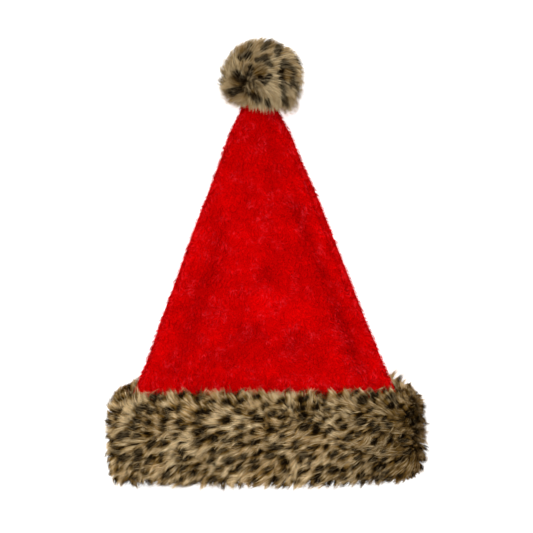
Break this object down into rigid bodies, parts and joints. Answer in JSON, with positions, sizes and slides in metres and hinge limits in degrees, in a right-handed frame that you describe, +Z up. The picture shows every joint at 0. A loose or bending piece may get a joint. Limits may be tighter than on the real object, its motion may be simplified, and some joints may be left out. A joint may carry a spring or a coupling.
{
  "type": "santa hat",
  "caption": "Plush santa hat lying flat: hollow red cone with side seams, deep leopard-print fur brim round an open mouth, leopard-print fur pompom at the tip.",
  "frame": {"origin": "on the floor that the hat lies on, under the middle of its bounding box", "axes": "+Y up the hat from its open mouth to its pompom, +Z up from the floor through its thickness, +X to the right seen from above"},
  "size_m": [0.3221, 0.4511, 0.0748],
  "materials": {
    "red_plush": "short brushed plush pile, matte with a soft sheen",
    "leopard_fur": "long combed faux fur, tan with dark brown leopard spots"
  },
  "bodies": {
    "root": {"crown": "red_plush", "brim": "leopard_fur", "pompom": "leopard_fur"}
  },
  "joints": []
}
